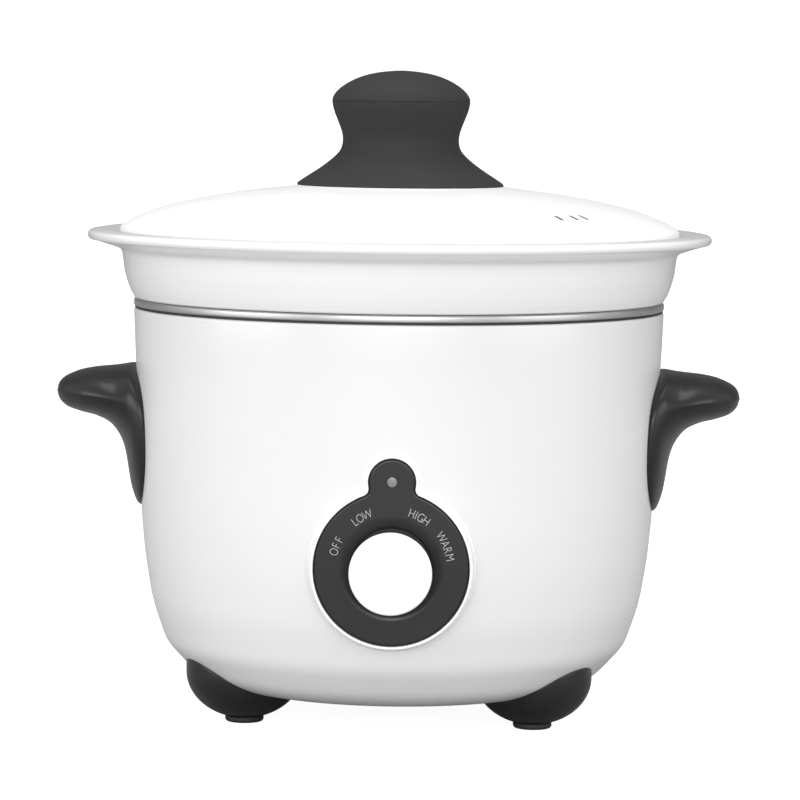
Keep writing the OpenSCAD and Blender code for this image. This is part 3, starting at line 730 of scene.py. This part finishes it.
# Control knob: a cup that widens slightly towards its face, with a shallow pointer line.
BOSS_R = 4.9
knob_deep = knob_high.y - knob_low.y - 1.2
knob_side = [(KNOB_R - 1.9, 0.0), (KNOB_R - 1.6, 0.3), (KNOB_R - 1.3, 3.0), (KNOB_R - 0.65, 8.0),
             (KNOB_R - 0.1, knob_deep - 3.5), (KNOB_R + 0.15, knob_deep - 1.2)]
knob_cup = knob_side + arc((KNOB_R - 0.65, knob_deep - 1.0), 0.8, 5, 84, 10)
knob_cup += [(KNOB_R * 0.6, knob_deep - 0.2), (KNOB_R * 0.3, knob_deep - 0.05), (0, knob_deep),
             (0, 3.2), (BOSS_R, 3.2), (BOSS_R, knob_deep - 2.4), (KNOB_R - 3.4, knob_deep - 2.6),
             (KNOB_R - 3.2, knob_deep - 4), (KNOB_R - 3.4, 0.2)]
dial_knob = lathe("dial_knob", knob_cup, "white_plastic", "control", ["control_knob"], 160,
                  sharp=40, upright=(knob_high.y, PANEL_Z))
OFF_ANGLE = math.radians(67)
bm = bmesh.new()
bmesh.ops.create_cube(bm, size=1.0)
bmesh.ops.transform(bm, verts=bm.verts, matrix=Matrix.Translation(
    Vector((0, knob_high.y - knob_deep - 0.1, PANEL_Z)) * MM) @ Matrix.Rotation(-OFF_ANGLE, 4, "Y")
    @ Matrix.Translation(Vector((0, 0, KNOB_R * 0.78)) * MM)
    @ Matrix.Diagonal((0.7, 0.9, KNOB_R * 0.34, 1)) @ Matrix.Scale(MM, 4))
cut(dial_knob, solid("line", bm), across(0, 0, knob_low.y + 2.15, knob_high.y + 3, SHAFT_R))

# --- body ------------------------------------------------------------------------------------
SHELL_T = 1.6
edge = 1.0
shell_out = BODY_LOW + [Vector((wall_r(z), z)) for z in (80, 95, 110, 122)]
shell_out += arc((BODY_R - 0.1 - edge, BODY_H - edge), edge, 0, 90)
shell_in = [Vector((BODY_R - 0.1 - SHELL_T, BODY_H)), Vector((BODY_R - 0.2 - SHELL_T, BODY_H - 3))]
shell_in += [Vector((wall_r(z) - SHELL_T, z)) for z in (110, 80)]
shell_in += list(reversed(beside(BODY_LOW, SHELL_T)))
shell = lathe("body_shell", shell_out + shell_in, "white_shell", "base", ["outer_shell"])
keyhole_tool = prism("keyhole_tool", *[upright_ring(keyhole(1.0), y) for y in (FRONT - 5, -70)])
GLAND_Z = sum(v.z for v in reach("cord_gland")) / 2
GLAND_HOLE_R = 5.6
cut(shell, keyhole_tool, rod(GLAND_HOLE_R, (0, 60, GLAND_Z), (0, 95, GLAND_Z)))

# --- steel rim, crock and lid ----------------------------------------------------------------
liner_low, liner_high = reach("heating_liner")
gasket_high = reach("rim_gasket")[1]
RIM_LOW, RIM_TOP, RIM_R = gasket_high.z, liner_high.z, liner_high.x
LINER_R, LINER_LOW, LINER_T = 74.0, liner_low.z, 0.9
LINER_TAPER = 0.056        # how much the radius shrinks per unit of depth


def liner_r(z):
    """Inner radius of the liner at height z."""
    return LINER_R - (BODY_H - 2 - z) * LINER_TAPER


liner_in = [Vector((0, LINER_LOW + LINER_T))]
liner_in += arc((liner_r(40) - 12, LINER_LOW + LINER_T + 12), 12, -90, 0, 14)
liner_in += [Vector((liner_r(BODY_H - 3), BODY_H - 3)), Vector((LINER_R + 0.6, BODY_H + 0.6)),
             Vector((LINER_R + 1.4, RIM_TOP - 0.5)), Vector((LINER_R + 2.6, RIM_TOP))]
rim = arc((RIM_R - 0.7, RIM_TOP - 0.7), 0.7, 90, 0, 6)
rim += arc((RIM_R - 0.45, RIM_LOW + 0.45), 0.45, 0, -90, 5)
rim += [Vector((LINER_R + 3.3, RIM_LOW)), Vector((LINER_R + 1.4, BODY_H - 1.5))]
liner_out = [Vector((liner_r(BODY_H - 6) + LINER_T, BODY_H - 6))]
liner_out += arc((liner_r(40) - 12, LINER_LOW + LINER_T + 12), 12 + LINER_T, 0, -90, 14)
liner_out += [Vector((0, LINER_LOW))]
lathe("liner", liner_in + rim + liner_out, "liner_steel", "base", ["heating_liner"])

crock_low, crock_high = reach("crock")
# The flared lip's radius stays a hair inside the CAD's.
SEAT_Z, LIP_R, LIP_Z = RIM_TOP + 0.1, crock_high.y - 0.004, crock_high.z
CROCK_T = 5.0
NECK_R = BODY_R + 3.6
LID_R = reach("lid")[1].x
LID_SEAT = LIP_Z - 4.4
ROUND = 12.6 - 0.8 * CROCK_T
crock_out = [Vector((0, crock_low.z))] + arc((liner_r(40) - 14.4, 40), 12, -90, 0, 12)
crock_out += [Vector((LINER_R - 2.4, SEAT_Z - 3))] + arc((LINER_R + 0.6, SEAT_Z - 3), 3, 180, 90, 6)
crock_out += arc((BODY_R - 1.2, SEAT_Z + 1.4), 1.4, -90, -10, 6)
crock_out += spline([(BODY_R + 0.9, SEAT_Z + 2.2), (BODY_R + 2, SEAT_Z + 5),
                     (BODY_R + 3.1, SEAT_Z + 9), (NECK_R, LIP_Z - 10), (NECK_R + 0.5, LIP_Z - 7.4),
                     (NECK_R + 1.7, LIP_Z - 6.2), (NECK_R + 4.8, LIP_Z - 5.1),
                     (LIP_R - 1.8, LIP_Z - 3.5)], 6)
crock_out += arc((LIP_R - 1.6, LIP_Z - 2.0), 1.6, -55, 65, 10)
crock_out += spline([(LIP_R - 1.9, LIP_Z - 0.45), (LIP_R - 3.6, LIP_Z - 0.1), (LIP_R - 5.6, LIP_Z),
                     (LID_R + 1.7, LIP_Z - 0.3), (LID_R + 0.8, LIP_Z - 1.4),
                     (LID_R + 0.6, LID_SEAT + 1)], 5)
crock_out += arc((LID_R - 0.4, LID_SEAT + 1), 1, 0, -90, 5)
crock_in = arc((NECK_R - CROCK_T + 0.8, LID_SEAT - 0.8), 0.8, 90, 180, 5)
crock_in += spline([(NECK_R - CROCK_T - 0.3, LIP_Z - 8), (NECK_R - CROCK_T - 1.4, LIP_Z - 13),
                    (NECK_R - CROCK_T - 5, LIP_Z - 18), (LINER_R - 4.4, SEAT_Z + 0.5),
                    (LINER_R - 2.8 - CROCK_T, SEAT_Z - 7)], 6)
crock_in += list(reversed(arc((liner_r(40) - 15, 42), ROUND, -90, 0, 12)))
crock_in += [Vector((0, 42 - ROUND))]
lathe("crock_pot", crock_out + crock_in, "stoneware", "crock", ["crock"])

TOP = reach("lid_knob")[1].z
FLANGE_Z = TOP - 37.8
LID_LOW = LID_SEAT + 0.1
LID_TOP = [(34, 0), (36, -0.4), (52, -2.3), (66, -4.7), (78, -7.6), (87, -11.0), (LID_R - 1.6, -12.9)]
lid_top = spline([(r, FLANGE_Z + dz) for r, dz in LID_TOP], 8)
lid_rim = arc((LID_R - 1.8, FLANGE_Z - 14.9), 1.8, 62, 0, 8)
lid_rim += arc((LID_R - 1.4, LID_LOW + 1.4), 1.4, 0, -90, 6)
RIB_R = NECK_R - CROCK_T - 0.6
LID_T, LID_HOLE_R = 4, 3.2
rib = [(RIB_R, LID_LOW), (RIB_R - 0.7, LID_LOW - 4.2), (RIB_R - 1.4, LID_LOW - 5),
       (RIB_R - 3.8, LID_LOW - 5), (RIB_R - 4.5, LID_LOW - 4.2), (RIB_R - 5, LID_LOW + 1.5)]
under = list(reversed(beside(lid_top[6:40], -LID_T)))
lid = lathe("lid_cover", [(LID_HOLE_R, FLANGE_Z)] + lid_top + lid_rim + rib + under
            + [(LID_HOLE_R, FLANGE_Z - LID_T)], "lid_ceramic", "lid", ["lid"])

# Three round-ended steam slits, each pointing at the lid's axis, with a dark grey painted shade on
# their walls.
SLIT_START, SLIT_END, SLIT_W = 77.4, 80.3, 1.3
SLIT_ANGLES = (40.3, 45.0, 48.3)
slit_tools = []
for angle in SLIT_ANGLES:
    turn = Matrix.Rotation(math.radians(angle - 90), 4, "Z")
    outline = [Vector((SLIT_END + p.x, p.y, 0)) for p in arc((0, 0), SLIT_W / 2, -90, 90, 8)]
    outline += [Vector((SLIT_START + p.x, p.y, 0)) for p in arc((0, 0), SLIT_W / 2, 90, 270, 8)]
    ends = [[(turn @ (p + Vector((0, 0, z)))) * MM for p in outline] for z in (FLANGE_Z, LID_LOW - 6)]
    slit_tools.append(prism("slit", *ends, 1))
lid.data.materials.append(SLIT_SHADE)
cut(lid, *slit_tools)

# Lid knob: waisted grip with a crisp ridge round its crown, hollow underneath.
BASE = FLANGE_Z + 0.05
skirt = flow([(33.7, 0.9), (31.8, 2.2), (29.85, 3.45), (27.8, 4.75), (25.9, 6.05), (24.1, 7.4),
              (22.4, 8.8), (20.8, 10.3), (19.5, 12.0), (19.0, 14.6), (19.3, 17.2), (20.3, 19.9),
              (21.4, 22.6), (22.3, 24.9), (22.75, 27.5)], 5)
skirt += [Vector((22.62, 27.62)), Vector((22.62, 27.78))]
crown = flow([(22.75, 27.9), (22.45, 29.2), (21.3, 30.9), (19.4, 32.5), (17.2, 33.9), (14.7, 35.15),
              (11.8, 36.2), (8.4, 37.0), (4.6, 37.5), (1.5, TOP - BASE - 0.04)], 5)
grip = [(30.1, 0), (33.9, 0), (34.1, 0.3)] + skirt + crown + [(0, TOP - BASE)]
hollow = [(0, 21.1), (2.5, 21.1), (2.5, 0.6), (6.5, 0.6), (6.5, 18), (15, 18), (16, 11), (24.5, 3),
          (25.4, 0.6), (30.1, 0.6)]
lathe("lid_grip", [(r, BASE + z) for r, z in grip + hollow], "charcoal_plastic", "lid", ["lid_knob"],
      sharp=22)

# --- handles ---------------------------------------------------------------------------------
HANDLE_X = reach("handle_right")[1].x
HANDLE_Z = 115.5           # level of the handles' top edge
HANDLE_RIM = -9.8          # level of the tip and of the outer side rim, from that edge
HANDLE_SINK = 0.15         # gap between the handle's back and the body
H0 = HANDLE_X - 86.3       # reach of the tip off the body wall
# Rings from the root to the tip: reach off the body wall, top, bottom, half width and side rim,
# with the heights from the top edge.
HANDLE_RINGS = [
    (0.15, -0.4, -47.2, 26, -20), (1.6, -0.3, -45.6, 26.4, -18), (3.2, -0.5, -40, 25.4, -15),
    (5.0, -0.8, -27.4, 24, -12.4), (8.6, -1.2, -20.8, 22.8, -11), (13.5, -1.7, -17.9, 20.8, -10.2),
    (18.6, -2.7, -16.6, 17.2, HANDLE_RIM), (H0 - 4, -4.3, -15.3, 12, HANDLE_RIM),
    (H0 - 2.2, -5.4, -14.2, 9, HANDLE_RIM), (H0 - 1, -6.6, -13.0, 6, HANDLE_RIM),
    (H0 - 0.35, -7.85, -11.75, 3.2, HANDLE_RIM),
]


def soft(value, power):
    """A sine or cosine made fuller or slacker, with its sign kept."""
    return math.copysign(abs(value) ** power, value)


def handle(side, node):
    """A handle on the right (side 1) or the left (-1), skinned over rings that hug the wall."""
    rings = []
    for reach_out, top, low, half, rim in spline(HANDLE_RINGS, 8):
        ring = []
        share = min(max((reach_out - 2.5) / 6.5, 0.0), 1.0)
        share = share * share * (3 - 2 * share)
        for k in range(96):
            a = math.tau * (k + 0.5) / 96
            y = half * soft(math.cos(a), 0.85 + 0.15 * share)
            lift = (top - rim) if math.sin(a) > 0 else (rim - low)
            z = HANDLE_Z + rim + lift * soft(math.sin(a), 0.8 + 0.4 * share)
            w = wall_r(z)
            ring.append(Vector((side * (math.sqrt(w * w - y * y) + reach_out), y, z)) * MM)
        rings.append(ring)
    back = HANDLE_Z - 24
    rear = []
    for shrink in (0.2, 0.4, 0.6, 0.8):
        line = []
        for p in rings[0]:
            y, z = p.y / MM * shrink, back + (p.z / MM - back) * shrink
            line.append(Vector((side * (math.sqrt(wall_r(z) ** 2 - y * y) + HANDLE_SINK), y, z)) * MM)
        rear.append(line)
    bm = bmesh.new()
    root = Vector((side * (wall_r(back) + HANDLE_SINK), 0, back)) * MM
    tip = Vector((side * HANDLE_X, 0, HANDLE_Z + HANDLE_RIM)) * MM
    skin_rings(bm, rear + rings, root, tip)
    return satin(finish_mesh(node + "_grip", bm, "charcoal_plastic", "base", [node], 60))


handle(1, "handle_right")
handle(-1, "handle_left")

# --- feet and pads ---------------------------------------------------------------------------
pad_low, pad_high = reach("foot_pad_left")
PAD_R = (pad_high.x - pad_low.x) / 2
FOOT_R, FOOT_MID, FOOT_LOW = 19.1, 16.6, 1.2
FOOT_T, FOOT_FLOOR, FOOT_GAP = 2.2, 6.4, 0.06
PAD_HOLLOW_R = 4.4


def bowl_r(z):
    """Radius of a foot at height z: a half ellipsoid below its widest height."""
    if z >= FOOT_MID:
        return FOOT_R
    return FOOT_R * math.sqrt(max(1 - ((FOOT_MID - z) / (FOOT_MID - FOOT_LOW)) ** 2, 0.0))


def foot(node, pad_node):
    """A bowl that reaches up to the body's underside all round, and the pad in its base."""
    low, high = reach(pad_node)
    centre = (low + high) / 2
    around, up = 160, 28
    rows = [[] for _ in range(up + 6)]
    for k in range(around):
        a = math.tau * k / around
        way = Vector((math.cos(a), math.sin(a)))
        height = 14.0
        for _ in range(30):  # settles on the height where the bowl meets the underside
            radius = bowl_r(height)
            place = Vector((centre.x, centre.y)) + way * radius
            height = 0.5 * height + 0.5 * (body_z(place.length) - FOOT_GAP)
        lip = height
        start = FOOT_LOW + 0.35
        for j in range(up + 1):
            z = start + (lip - 0.5 - start) * (1 - math.cos(math.pi / 2 * j / up))
            rows[j].append((way, bowl_r(z), z))
        full = bowl_r(lip)
        for j, (inset, drop) in enumerate(((0.04, 0.3), (0.14, 0.14), (0.34, 0.06), (0.6, 0.1),
                                           (1.9, 0.5))):
            radius = full - inset
            place = Vector((centre.x, centre.y)) + way * radius
            rows[up + 1 + j].append((way, radius, min(lip, body_z(place.length) - FOOT_GAP) - drop))

    def ring(row, inset, share, drop):
        return [Vector((centre.x + way.x * (radius - inset) * share,
                        centre.y + way.y * (radius - inset) * share, drop(z))) * MM
                for way, radius, z in row]
    rings = [ring(row, 0, 1, float) for row in rows]
    rings.append(ring(rows[up], FOOT_T, 0.99, lambda z: max(FOOT_FLOOR, z * 0.85)))
    rings.append(ring(rows[up], FOOT_T, 0.9, lambda z: max(FOOT_FLOOR, z * 0.5)))
    rings.append([Vector((centre.x + way.x * 6, centre.y + way.y * 6, FOOT_FLOOR)) * MM
                  for way, radius, z in rows[up]])
    bm = bmesh.new()
    skin_rings(bm, rings, Vector((centre.x, centre.y, FOOT_LOW + 0.3)) * MM,
               Vector((centre.x, centre.y, FOOT_FLOOR)) * MM)
    satin(finish_mesh(node + "_bowl", bm, "charcoal_plastic", "base", [node], 50))
    rubber = [(0, 0.6), (PAD_HOLLOW_R, 0.6), (PAD_HOLLOW_R, 0.0), (PAD_R - 1.1, 0.0)]
    rubber += arc((PAD_R - 1.1, 1.0), 1.0, -80, 0, 8)
    rubber += [(PAD_R - 0.1, 1.5)] + arc((PAD_R - 0.4, 1.6), 0.3, 0, 90, 4)
    rubber += [(PAD_R - 1.3, 2.0), (0, 2.4)]
    lathe(pad_node + "_rubber", rubber, "dark_rubber", "base", [pad_node], 128,
          (centre.x, centre.y), 40)


for place in ("left", "right", "rear"):
    foot("foot_" + place, "foot_pad_" + place)

# --- everything else keeps its CAD shape and takes its finish from the record ----------------
for name, node in frame["nodes"].items():
    if node.hide_render:
        continue
    node.data.materials.clear()
    node.data.materials.append(FINISHES[SLOT_OF[name]])
